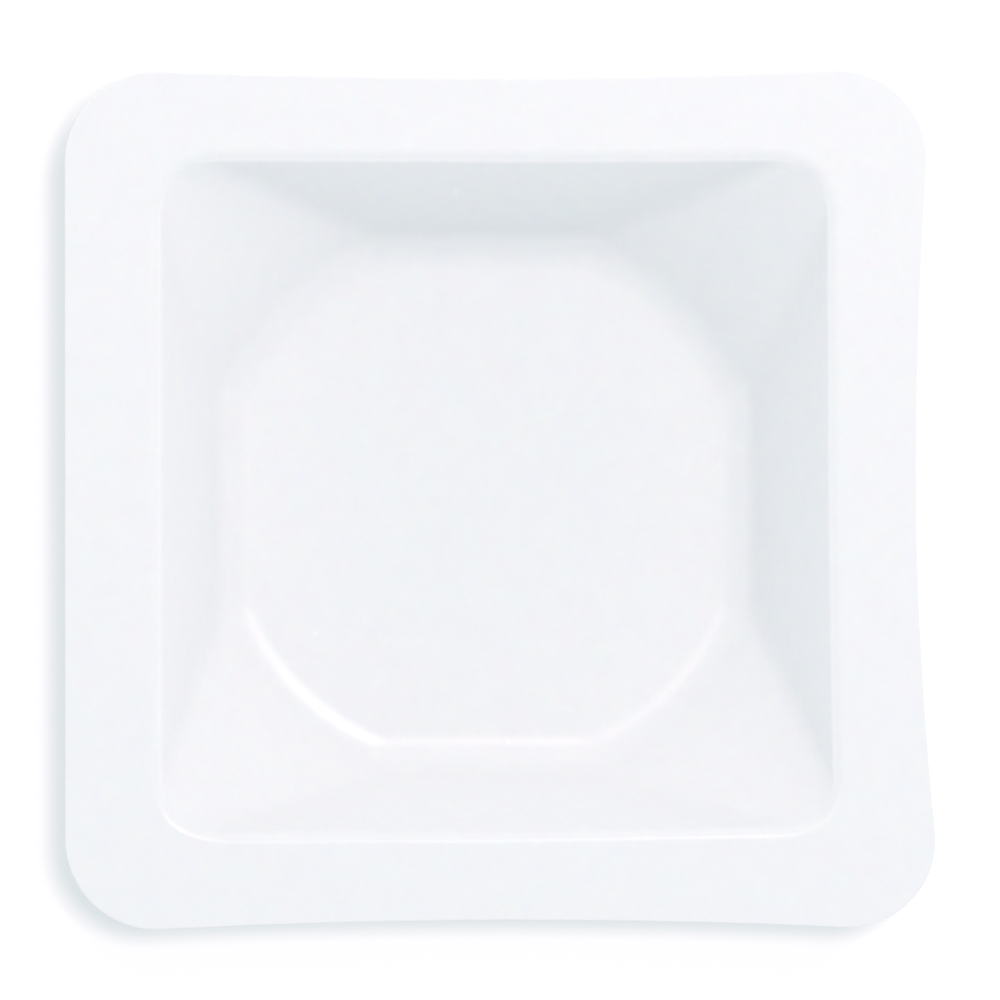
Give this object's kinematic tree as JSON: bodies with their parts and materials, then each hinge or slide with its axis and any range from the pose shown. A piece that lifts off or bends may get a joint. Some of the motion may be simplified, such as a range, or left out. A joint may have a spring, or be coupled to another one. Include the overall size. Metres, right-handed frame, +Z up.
{
  "type": "weighing dish",
  "caption": "Square formed-sheet weighing dish with a flat rim, sloping walls and a rounded flat floor.",
  "frame": {"origin": "middle of the floor's underside, where the dish stands", "axes": "+Z up out of the mouth, +X to the right, +Y to the back"},
  "size_m": [0.0416, 0.0411, 0.008],
  "materials": {
    "white_polystyrene": "smooth white sheet with a soft satin gloss, very slightly see-through"
  },
  "bodies": {
    "root": {"dish": "white_polystyrene"}
  },
  "joints": []
}
